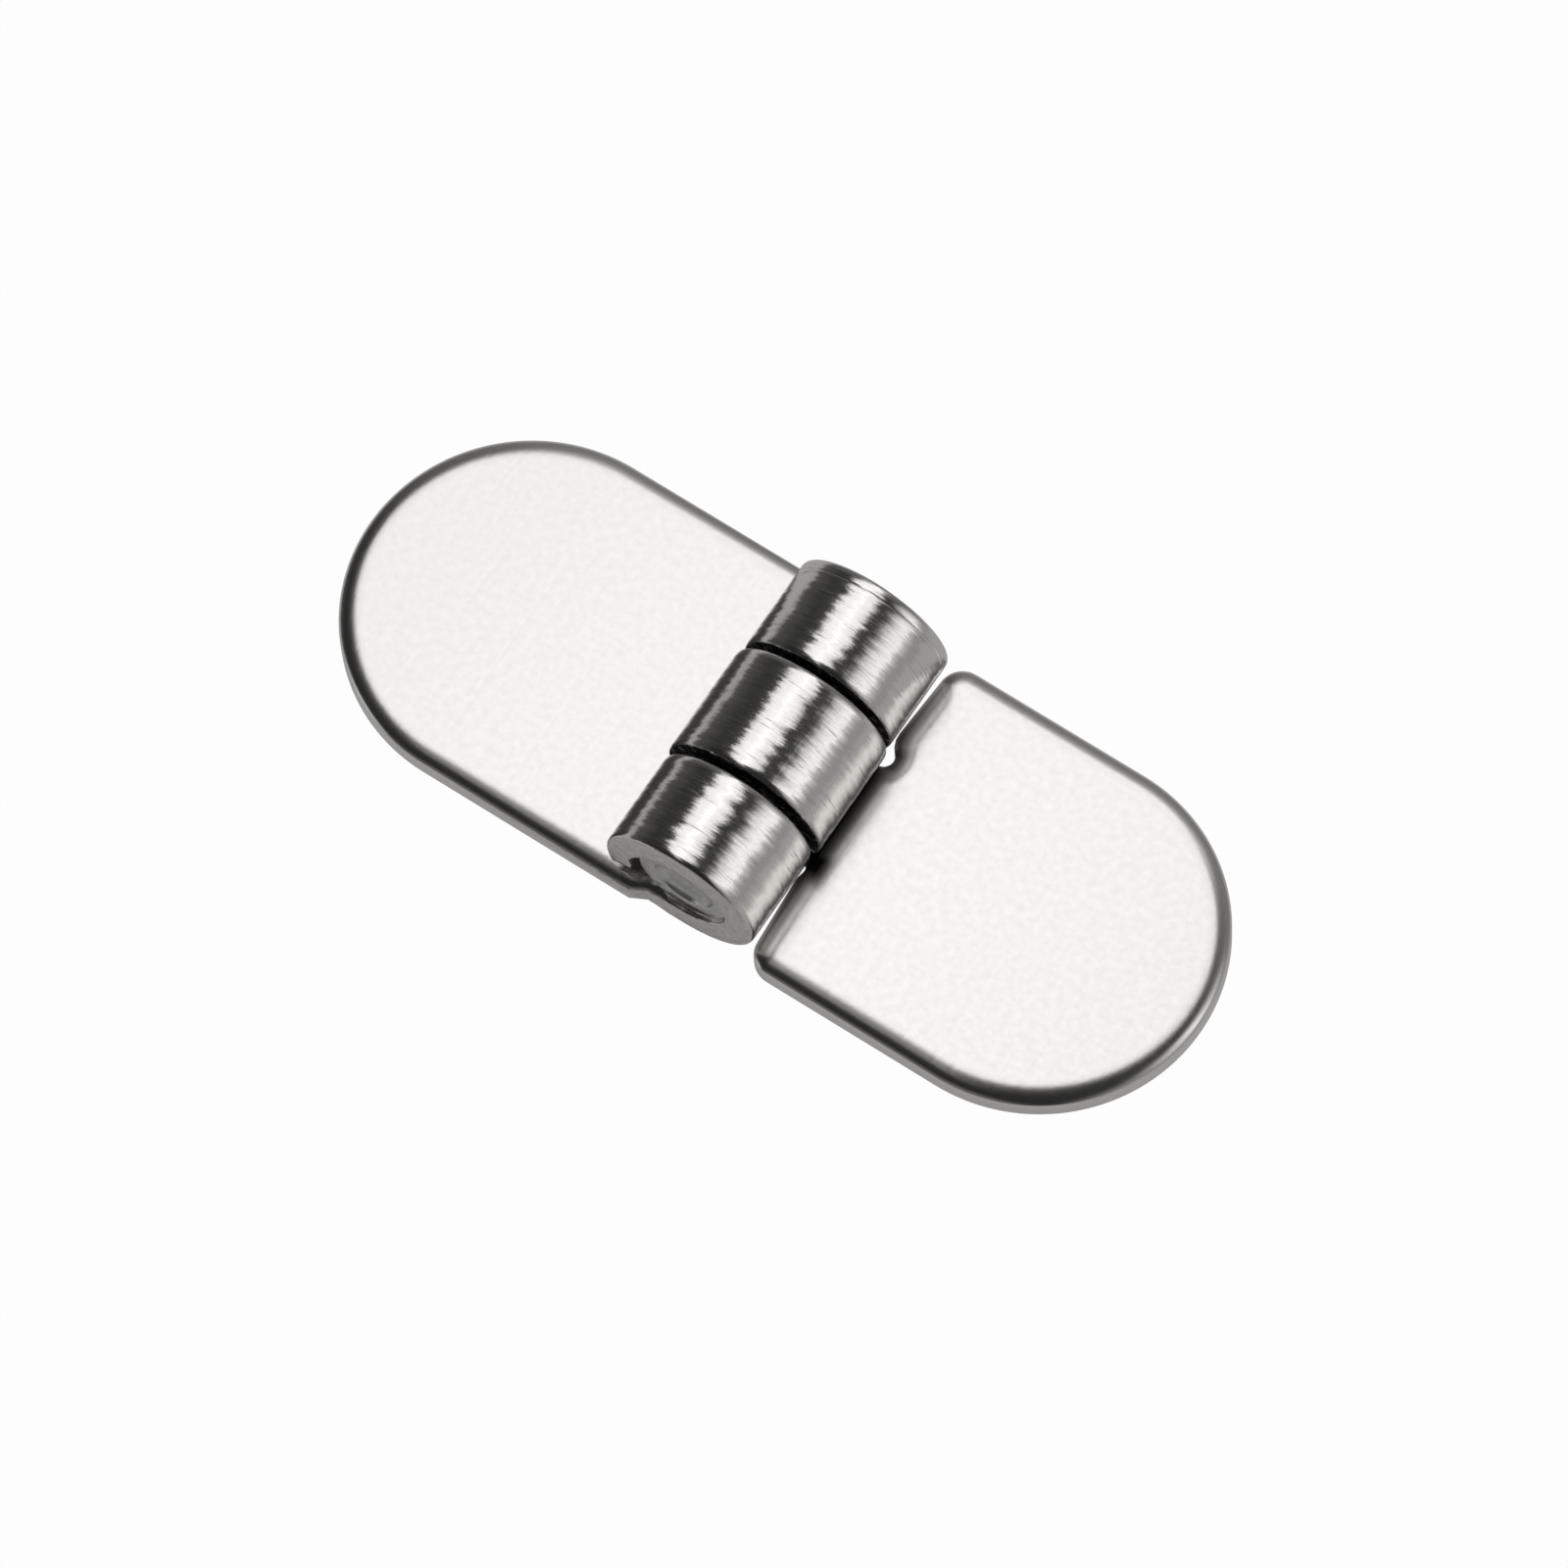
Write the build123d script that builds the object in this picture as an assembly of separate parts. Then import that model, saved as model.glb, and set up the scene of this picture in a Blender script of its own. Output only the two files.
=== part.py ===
from build123d import *
import math
import os

# Weld-on butt hinge in stainless sheet: two plain D-shaped leaves without holes, whose inner
# edges are curled round one pin. The fixed leaf lies towards -X and carries the two outer
# knuckles, the swing leaf lies towards +X and carries the middle one. Millimetres, +Z up, the
# pin along Y, the leaves flat open on Z = 0 and the pin axis above the origin.

# Sheet and pin
sheet_thickness = 2.0
pin_diameter = 6.0
pin_clearance = 0.05  # radial running clearance between the pin and the knuckles

# Leaves
leaf_width = 22.0
leaf_reach = 28.7  # pin axis to the tip of a leaf
leaf_top_round = 1.2  # rolled edge on the knuckle side
leaf_under_break = 0.4

# Knuckles
barrel_length = 20.4
barrel_offset = -0.3  # along the pin, from the middle of the leaves
middle_knuckle_length = 7.1
knuckle_gap = 0.5  # end play between neighbouring knuckles
knuckle_edge_break = 0.2
curl_end_gap = 0.3  # free end of a curl to the face of its own leaf
curl_end_round = 0.3
flat_run = 2.4  # pin axis to the place where the rolled edges of a leaf end

# Fixed leaf, where it meets the barrel
shoulder_run = 1.0  # length over which the leaf narrows to the barrel
notch_gap = 0.3  # middle knuckle to the notch that it turns in
notch_corner_radius = 0.6
notch_edge_round = 0.3

# Swing leaf, where it meets the barrel
inner_edge_distance = 4.25  # pin axis to the inner edge, beside the neck
inner_edge_angle = 3.5  # the inner edges fall back towards the corners, degrees
inner_corner_radius = 1.3
relief_radius = 0.65  # concave corner on each side of the neck
relief_depth = 0.2  # how far the relief undercuts the inner edge

# Pin ends
pin_recess = 0.35  # below the end faces of the barrel
stake_length = 1.2  # the stretch that the punch has swelled against the knuckle
pin_edge_break = 0.2
dish_radius = 2.3
dish_depth = 0.6

# Sizes that follow
pin_radius = pin_diameter / 2
bore_radius = pin_radius + pin_clearance
barrel_radius = bore_radius + sheet_thickness
pivot_height = barrel_radius
half_width = leaf_width / 2
straight_end = leaf_reach - half_width
barrel_near = barrel_offset - barrel_length / 2
barrel_far = barrel_offset + barrel_length / 2
middle_near = barrel_offset - middle_knuckle_length / 2
middle_far = barrel_offset + middle_knuckle_length / 2
notch_near = middle_near - knuckle_gap
notch_far = middle_far + knuckle_gap
notch_distance = barrel_radius + notch_gap

# Angle at which the curl ends, from +X, so that its outer corner stands off the leaf's face
tip_drop = pivot_height - sheet_thickness - curl_end_gap
curl_end_angle = 180 + math.degrees(math.asin(tip_drop / barrel_radius))


def knuckle(y_from, y_to):
    """One knuckle of a leaf towards -X: flat for a stretch, up the far side and over the pin."""
    sweep = curl_end_angle + 90
    axis = Vector(0, pivot_height)
    towards_end = Vector(1, 0).rotate(Axis.Z, curl_end_angle)
    outer_end = axis + towards_end * barrel_radius
    inner_end = axis + towards_end * bore_radius
    with BuildPart() as curl:
        with BuildSketch(Plane.XZ.offset(-y_to)) as section:
            with BuildLine():
                Polyline((0, 0), (-flat_run, 0), (-flat_run, sheet_thickness), (0, sheet_thickness))
                CenterArc(axis, barrel_radius, -90, sweep)
                Line(outer_end, inner_end)
                CenterArc(axis, bore_radius, -90, sweep)
            make_face()
            fillet(section.vertices().sort_by_distance(outer_end)[0], curl_end_round)
        extrude(amount=y_to - y_from)
        rims = curl.edges().filter_by(GeomType.CIRCLE).filter_by(
            lambda edge: abs(edge.radius - barrel_radius) < 1e-6
        )
        chamfer(rims, knuckle_edge_break)
    return curl.part


def rolled_plate(outline):
    """A blank of the sheet, its edge rolled all round except where it runs on into a knuckle."""
    with BuildPart() as plate:
        add(outline)
        extrude(amount=sheet_thickness)
        for side, soften, size in ((-1, fillet, leaf_top_round), (0, chamfer, leaf_under_break)):
            face = plate.faces().sort_by(Axis.Z)[side]
            soften(face.edges().filter_by(lambda edge: edge.center().X < -flat_run - 1e-6), size)
    return plate.part


def fixed_leaf():
    """The leaf with the two outer knuckles, notched between them for the middle one."""
    with BuildSketch() as outline:
        with BuildLine():
            Polyline(
                (-straight_end, -half_width),
                (-flat_run - shoulder_run, -half_width),
                (-flat_run, barrel_near),
                (-flat_run, barrel_far),
                (-flat_run - shoulder_run, half_width),
                (-straight_end, half_width),
            )
            TangentArc(
                (-straight_end, half_width), (-straight_end, -half_width), tangent=(-1, 0)
            )
        make_face()
    with BuildSketch() as notch:
        with Locations((0, barrel_offset)):
            Rectangle(2 * notch_distance, notch_far - notch_near)
        fillet(notch.vertices(), notch_corner_radius)
    with BuildPart() as leaf:
        add(rolled_plate(outline.sketch))
        extrude(notch.sketch, amount=sheet_thickness, mode=Mode.SUBTRACT)
        rim = leaf.edges().group_by(Axis.Z)[-1].filter_by(
            lambda edge: edge.center().X > -notch_distance - 1e-6
            and notch_near - 1e-6 < edge.center().Y < notch_far + 1e-6
        )
        fillet(rim, notch_edge_round)
        add(knuckle(barrel_near, notch_near))
        add(knuckle(notch_far, barrel_far))
    return leaf.part


def swing_leaf():
    """The leaf with the middle knuckle, its neck set off from the inner edges by reliefs."""
    tangent = math.tan(math.radians(inner_edge_angle))
    relief_x = relief_radius - inner_edge_distance - relief_depth
    with BuildSketch() as outline:
        with BuildLine():
            Polyline(
                (-straight_end, -half_width),
                (-inner_edge_distance - (middle_near + half_width) * tangent, -half_width),
                (-inner_edge_distance, middle_near),
                (-flat_run, middle_near),
                (-flat_run, middle_far),
                (-inner_edge_distance, middle_far),
                (-inner_edge_distance - (half_width - middle_far) * tangent, half_width),
                (-straight_end, half_width),
            )
            TangentArc(
                (-straight_end, half_width), (-straight_end, -half_width), tangent=(-1, 0)
            )
        make_face()
        corners = outline.vertices().filter_by(
            lambda v: abs(abs(v.Y) - half_width) < 1e-6 and v.X > -straight_end + 1e-6
        )
        fillet(corners, inner_corner_radius)
        for y, side, align in ((middle_near, -1, Align.MIN), (middle_far, 1, Align.MAX)):
            with Locations((relief_x, y + side * relief_radius)):
                Rectangle(relief_radius, relief_radius, align=(Align.MAX, align))
                Circle(relief_radius, mode=Mode.SUBTRACT)
    leaf = rolled_plate(outline.sketch) + knuckle(middle_near, middle_far)
    return mirror(leaf, about=Plane.YZ)


def pin():
    """The pin, whose ends are staked: each has a punched dish and is swelled to the bore."""
    half_pin = barrel_length / 2 - pin_recess
    with BuildPart() as body:
        with BuildSketch() as half_section:
            with BuildLine() as profile:
                TangentArc((0, half_pin - dish_depth), (dish_radius, half_pin), tangent=(1, 0))
                Polyline(
                    (dish_radius, half_pin),
                    (bore_radius, half_pin),
                    (bore_radius, half_pin - stake_length / 2),
                    (pin_radius, half_pin - stake_length),
                    (pin_radius, 0),
                )
                mirror(about=Plane.XZ)
                Line(profile.line @ 0, profile.line @ 1)
            make_face()
            rims = half_section.vertices().filter_by(
                lambda v: v.X > dish_radius + 1e-6 and abs(abs(v.Y) - half_pin) < 1e-6
            )
            chamfer(rims, pin_edge_break)
        revolve(axis=Axis.Y)
    return body.part.moved(Location((0, barrel_offset, pivot_height)))


os.makedirs("parts", exist_ok=True)
nodes = {
    "two_knuckle_leaf": fixed_leaf(),
    "single_knuckle_leaf": swing_leaf(),
    "hinge_pin": pin(),
}
for name, shape in nodes.items():
    export_step(shape, f"parts/{name}.step")
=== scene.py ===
"""Weld-on butt hinge in tumbled stainless sheet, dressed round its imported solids.

Two D-shaped leaves have tongues curled round one staked pin. Each piece is drawn in millimetres
in the frame of the solids, and scaled to metres when it is finished.
"""

import logging
import math
from dataclasses import dataclass, field
from enum import Enum

import bmesh
import bpy
from bmesh.types import BMEdge, BMesh, BMFace, BMVert
from mathutils import Matrix, Vector


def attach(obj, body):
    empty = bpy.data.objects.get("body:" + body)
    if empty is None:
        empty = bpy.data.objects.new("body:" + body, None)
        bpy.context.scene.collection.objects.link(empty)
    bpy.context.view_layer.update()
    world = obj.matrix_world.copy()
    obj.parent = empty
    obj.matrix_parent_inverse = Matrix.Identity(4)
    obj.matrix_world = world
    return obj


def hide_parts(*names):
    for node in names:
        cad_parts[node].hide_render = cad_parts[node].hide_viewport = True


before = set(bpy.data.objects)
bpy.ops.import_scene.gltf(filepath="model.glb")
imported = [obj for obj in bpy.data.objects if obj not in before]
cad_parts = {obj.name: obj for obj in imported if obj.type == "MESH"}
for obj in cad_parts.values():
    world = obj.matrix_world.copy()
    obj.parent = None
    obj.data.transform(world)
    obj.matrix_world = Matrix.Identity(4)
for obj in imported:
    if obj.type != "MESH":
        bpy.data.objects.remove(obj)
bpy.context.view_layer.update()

MM = 0.001
CLOSE = 0.002  # millimetres between points that are one point
PIN_HEIGHT = 5.05  # millimetres from the undersides to the pin axis
BORE = 3.05  # millimetres, radius of the inside of a knuckle
RIM_LAYER = "rim"
CUT_END_AND_GAP_SHADE_LAYER = "cut_end_and_gap_shade"

log = logging.getLogger("weld_on_hinge")


class Slot(Enum):
    """Material slots of the record."""

    LEAF = "leaf_steel"
    PIN = "pin_steel"


class Body(Enum):
    """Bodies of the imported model."""

    FIXED = "fixed_side"
    SWING = "swing_side"


class Turn(Enum):
    """Way in which an outline bends."""

    LEFT = 1
    RIGHT = -1


class OutlinePen:
    """Draws a closed line on a bmesh, stretch by stretch, and fills it with a face."""

    def __init__(self, bm: BMesh, start: tuple[float, float], heading: float = 0.0) -> None:
        """Puts the pen down.

        Args:
            bm: the bmesh to draw on.
            start: first point of the line, in its XY plane.
            heading: way in which the line sets out, in degrees from +X.
        """
        self.bm = bm
        self.tip = bm.verts.new((*start, 0.0))
        self.heading = heading

    def line_to(self, x: float, y: float) -> None:
        """Draws a straight stretch to a point."""
        before = self.tip.co.copy()
        self.tip = bmesh.ops.extrude_vert_indiv(self.bm, verts=[self.tip])["verts"][0]
        self.tip.co = (x, y, 0.0)
        way = self.tip.co - before
        self.heading = math.degrees(math.atan2(way.y, way.x))

    def bend(self, radius: float, degrees: float, turn: Turn, steps: int) -> None:
        """Draws an arc that carries on from the stretch before it.

        Args:
            radius: radius of the arc.
            degrees: how far it turns.
            turn: way in which it turns.
            steps: number of its edges.
        """
        heading = math.radians(self.heading)
        inwards = Vector((-math.sin(heading), math.cos(heading), 0.0)) * turn.value
        spun = bmesh.ops.spin(
            self.bm, geom=[self.tip], cent=self.tip.co + inwards * radius, axis=(0, 0, 1),
            angle=math.radians(degrees) * turn.value, steps=steps, use_merge=False,
        )
        self.tip = next(item for item in spun["geom_last"] if isinstance(item, BMVert))
        self.heading += degrees * turn.value

    def close(self) -> BMFace:
        """Joins the line's ends and returns the face inside it."""
        bmesh.ops.remove_doubles(self.bm, verts=self.bm.verts[:], dist=CLOSE)
        return bmesh.ops.contextual_create(self.bm, geom=self.bm.edges[:])["faces"][0]


def share_between(value: float, low: float, high: float) -> float:
    """How far a value has come from low to high, from 0 to 1."""
    return min(1.0, max(0.0, (value - low) / (high - low)))


def eased(value: float, low: float, high: float) -> float:
    """The same, with a gentle start and end."""
    share = share_between(value, low, high)
    return share * share * (3 - 2 * share)


@dataclass(frozen=True)
class Roll:
    """Rolled edge of a face, steep at its foot and ever gentler towards the face.

    Attributes:
        reach: width of the rolled border.
        drop: height of the rolled border.
        steps: number of rings that make it.
        fullness: 2 for a quarter of an ellipse, more for an edge that keeps closer to its corner.
    """

    reach: float
    drop: float
    steps: int
    fullness: float = 2.0

    def ring(self, step: int) -> tuple[float, float]:
        """Distance from the edge, and rise from its foot, after so many steps."""
        angle, power = math.pi / 2 * step / self.steps, 2 / self.fullness
        across = 1 - max(0.0, math.cos(angle)) ** power
        return self.reach * across, self.drop * math.sin(angle) ** power

    def apply(self, bm: BMesh, face: BMFace, level_border: float) -> None:
        """Rolls the border of a face.

        Args:
            bm: the bmesh that holds the face.
            face: the face, at the foot of its rolled border.
            level_border: width of a flat ring laid inside the rolled one.
        """
        rings = [self.ring(step) for step in range(self.steps + 1)]
        for (near, low), (far, high) in zip(rings, rings[1:]):
            self._inset(bm, face, far - near, high - low)
        self._inset(bm, face, level_border, 0.0)

    @staticmethod
    def _inset(bm: BMesh, face: BMFace, thickness: float, depth: float) -> None:
        """Steps a face in from its border and out along its normal.

        Args:
            bm: the bmesh that holds the face.
            face: the face.
            thickness: how far it steps in.
            depth: how far it steps out.
        """
        bmesh.ops.inset_region(
            bm, faces=[face], use_boundary=True, use_even_offset=True,
            thickness=thickness, depth=depth,
        )


@dataclass(frozen=True)
class Curl:
    """Knuckle: how a tongue is curled round the pin.

    Attributes:
        end_angle: where the curl ends, in degrees from +X over the top.
        rim: radius of the knuckle's edges.
        lip: rolled edge of the curl's free end.
        steps: number of stretches round the curl.
        slack: how far a loosely curled knuckle stands off the pin.
        slack_turn: degrees from its start in which it gets there.
        gape: how much further the inside stands off the pin at the free end.
        gape_turn: degrees before the free end at which it starts to.
    """

    end_angle: float = 198.0
    rim: float = 0.17
    lip: Roll = Roll(0.136, 0.102, 4)
    steps: int = 110
    slack: float = 0.0
    slack_turn: float = 80.0
    gape: float = 0.5
    gape_turn: float = 52.0

    def grow(self, bm: BMesh, section: list[BMEdge]) -> None:
        """Carries a section under the pin on round the pin, and closes its free end.

        Args:
            bm: the bmesh of the leaf.
            section: the open border of the tongue, in the plane below the pin axis.
        """
        flat = set(bm.verts)
        spun = bmesh.ops.spin(
            bm, geom=section, cent=(0, 0, PIN_HEIGHT), axis=(0, -1, 0),
            angle=math.radians(self.end_angle + 90), steps=self.steps, use_merge=False,
        )
        last = [item for item in spun["geom_last"] if isinstance(item, BMEdge)]
        end = bmesh.ops.contextual_create(bm, geom=last)["faces"][0]
        end.normal_update()
        radial = Vector((
            math.cos(math.radians(self.end_angle)), 0, math.sin(math.radians(self.end_angle))
        ))
        if end.normal.dot(radial.cross((0, 1, 0))) > 0:
            end.normal_flip()
        self.lip.apply(bm, end, self.rim / 2)
        self.loosen([vert for vert in bm.verts if vert not in flat])

    def loosen(self, verts: list[BMVert]) -> None:
        """Moves a knuckle off the pin, by its slack all round and by its gape at its end."""
        whole = self.end_angle + 90
        mid_sheet = (BORE + PIN_HEIGHT) / 2
        for vert in verts:
            out = Vector((vert.co.x, 0, vert.co.z - PIN_HEIGHT))
            turned = (math.degrees(math.atan2(out.z, out.x)) + 90) % 360
            off_pin = self.slack * eased(turned, 0.0, self.slack_turn)
            if out.length < mid_sheet:
                off_pin += self.gape * eased(turned, whole - self.gape_turn, whole)
            vert.co += out.normalized() * off_pin


@dataclass
class Leaf:
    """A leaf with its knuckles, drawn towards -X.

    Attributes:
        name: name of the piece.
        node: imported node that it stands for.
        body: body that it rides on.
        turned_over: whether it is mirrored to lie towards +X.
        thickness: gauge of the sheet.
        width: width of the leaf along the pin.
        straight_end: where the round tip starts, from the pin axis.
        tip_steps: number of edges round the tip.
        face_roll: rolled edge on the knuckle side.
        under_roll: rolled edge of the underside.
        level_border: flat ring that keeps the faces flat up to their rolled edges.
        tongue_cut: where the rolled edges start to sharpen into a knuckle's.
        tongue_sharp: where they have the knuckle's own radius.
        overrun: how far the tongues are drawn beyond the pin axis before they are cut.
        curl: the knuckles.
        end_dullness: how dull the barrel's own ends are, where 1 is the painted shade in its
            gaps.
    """

    name: str
    node: str
    body: Body
    turned_over: bool = False
    thickness: float = 2.0
    width: float = 22.0
    straight_end: float = 17.7
    tip_steps: int = 120
    face_roll: Roll = Roll(1.35, 0.6, 14, 2.1)
    under_roll: Roll = Roll(0.4, 0.4, 4)
    level_border: float = 0.1
    tongue_cut: float = 1.9
    tongue_sharp: float = 1.0
    overrun: float = 2.5
    curl: Curl = field(default_factory=Curl)
    end_dullness: float = 0.22

    def draw(self, bm: BMesh) -> BMFace:
        """Draws the blank's outline and returns its face."""
        raise NotImplementedError

    def build(self) -> bpy.types.Object:
        """Makes the leaf and hides the node that it stands for.

        Returns:
            The finished piece.
        """
        bm = bmesh.new()
        under = self.draw(bm)
        grown = bmesh.ops.extrude_face_region(bm, geom=[under], use_keep_orig=True)["geom"]
        face = next(item for item in grown if isinstance(item, BMFace))
        bmesh.ops.translate(bm, verts=list(under.verts), vec=(0, 0, self.under_roll.drop))
        bmesh.ops.translate(
            bm, verts=list(face.verts), vec=(0, 0, self.thickness - self.face_roll.drop)
        )
        bmesh.ops.recalc_face_normals(bm, faces=bm.faces[:])
        self.face_roll.apply(bm, face, self.level_border)
        self.under_roll.apply(bm, under, self.level_border)
        self.trim(bm)
        bmesh.ops.bisect_plane(
            bm, geom=bm.verts[:] + bm.edges[:] + bm.faces[:], dist=CLOSE / 10,
            plane_co=(-self.tongue_cut, 0, 0), plane_no=(1, 0, 0), clear_outer=True,
        )
        for section in self.tongue_sections(bm):
            self.curl_tongue(bm, section)
        if self.turned_over:
            bmesh.ops.scale(bm, verts=bm.verts[:], vec=(-1, 1, 1))
        return finish_piece(bm, self.name, self.node, self.body, self.end_dullness)

    def trim(self, bm: BMesh) -> None:
        """Changes the rolled blank where the leaf needs it, before its tongues are cut."""

    @staticmethod
    def tongue_sections(bm: BMesh) -> list[list[BMEdge]]:
        """Open borders left by the cut, one loop of edges for each tongue."""
        left = {edge for edge in bm.edges if edge.is_boundary}
        loops = []
        while left:
            loop, ahead = [], [left.pop()]
            while ahead:
                edge = ahead.pop()
                loop.append(edge)
                touching = {e for vert in edge.verts for e in vert.link_edges} & left
                left -= touching
                ahead.extend(touching)
            loops.append(loop)
        return loops

    def curl_tongue(self, bm: BMesh, section: list[BMEdge]) -> None:
        """Sharpens the edges of a tongue to its knuckle's and curls it round the pin.

        Args:
            bm: the bmesh of the leaf.
            section: the tongue's open border.
        """
        sharp = self._extruded(bm, section)
        verts = {vert for edge in sharp for vert in edge.verts}
        near, far = min(v.co.y for v in verts), max(v.co.y for v in verts)
        middle = (near + far) / 2
        for side, upper in ((near, True), (near, False), (far, True), (far, False)):
            corner = [
                v for v in verts
                if (v.co.z > self.thickness / 2) == upper and (v.co.y < middle) == (side == near)
            ]
            level = self.thickness if upper else 0.0
            walls = [abs(v.co.z - level) for v in corner if abs(v.co.y - side) < CLOSE]
            rolled = [abs(v.co.y - side) for v in corner if abs(v.co.z - level) > CLOSE]
            drop, reach = min(walls), max(rolled)
            for vert in corner:
                inwards = abs(vert.co.y - side)
                if inwards <= reach + CLOSE:
                    vert.co.y = side + (vert.co.y - side) * min(1.0, self.curl.rim / reach)
                vert.co.z = level + (vert.co.z - level) * min(1.0, self.curl.rim / drop)
                vert.co.x = -self.tongue_sharp
        # The rolled edge's finest steps come out shorter than a sound edge here.
        bmesh.ops.remove_doubles(bm, verts=list(verts), dist=5 * CLOSE)
        sharp = [edge for edge in sharp if edge.is_valid]
        under_pin = self._extruded(bm, sharp)
        for vert in {vert for edge in under_pin for vert in edge.verts}:
            vert.co.x = 0.0
        self.curl.grow(bm, under_pin)

    @staticmethod
    def _extruded(bm: BMesh, section: list[BMEdge]) -> list[BMEdge]:
        """New edges of a strip grown from a section."""
        grown = bmesh.ops.extrude_edge_only(bm, edges=section)["geom"]
        return [item for item in grown if isinstance(item, BMEdge)]


@dataclass
class FixedLeaf(Leaf):
    """The leaf with the two outer knuckles.

    Attributes:
        flat_run: pin axis to the place where the leaf has become a tongue.
        shoulder: length over which the leaf narrows to the barrel.
        barrel: near and far end of the barrel, along the pin.
        notch: near and far side of the notch that the middle knuckle turns in.
        notch_distance: pin axis to the notch.
        notch_corner: radius of the notch's corners.
        notch_roll: reach and drop of the notch's edge, which is sharper than the leaf's.
        notch_steps: number of edges round a corner of the notch.
    """

    flat_run: float = 2.4
    shoulder: float = 1.0
    barrel: tuple[float, float] = (-10.5, 9.9)
    notch: tuple[float, float] = (-4.35, 3.75)
    notch_distance: float = 5.35
    notch_corner: float = 0.6
    notch_roll: tuple[float, float] = (0.25, 0.2)
    notch_steps: int = 6

    def trim(self, bm: BMesh) -> None:
        """Draws the rolled edge of the notch in towards the notch."""
        near, far = self.notch
        reach, drop = self.face_roll.reach, self.face_roll.drop
        for vert in bm.verts:
            if vert.co.z < self.thickness / 2:
                continue
            core = Vector((
                max(vert.co.x, -self.notch_distance + self.notch_corner),
                min(max(vert.co.y, near + self.notch_corner), far - self.notch_corner),
            ))
            way = vert.co.xy - core
            inwards = way.length - self.notch_corner
            if inwards > reach + self.level_border + CLOSE or way.length < CLOSE:
                continue
            drawn_in = min(inwards, reach) * self.notch_roll[0] / reach
            way.length = self.notch_corner + drawn_in + max(0.0, inwards - reach)
            depth = (self.thickness - vert.co.z) * self.notch_roll[1] / drop
            vert.co = (*(core + way), self.thickness - depth)

    def draw(self, bm: BMesh) -> BMFace:
        """Draws the D, its shoulders and the two tongues."""
        half = self.width / 2
        (near, far), (notch_near, notch_far) = self.barrel, self.notch
        pen = OutlinePen(bm, (-self.straight_end, -half))
        pen.line_to(-self.flat_run - self.shoulder, -half)
        pen.line_to(-self.flat_run, near)
        pen.line_to(self.overrun, near)
        pen.line_to(self.overrun, notch_near)
        pen.line_to(-self.notch_distance + self.notch_corner, notch_near)
        pen.bend(self.notch_corner, 90, Turn.RIGHT, self.notch_steps)
        pen.line_to(-self.notch_distance, notch_far - self.notch_corner)
        pen.bend(self.notch_corner, 90, Turn.RIGHT, self.notch_steps)
        pen.line_to(self.overrun, notch_far)
        pen.line_to(self.overrun, far)
        pen.line_to(-self.flat_run, far)
        pen.line_to(-self.flat_run - self.shoulder, half)
        pen.line_to(-self.straight_end, half)
        pen.bend(half, 180, Turn.LEFT, self.tip_steps)
        return pen.close()


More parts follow.
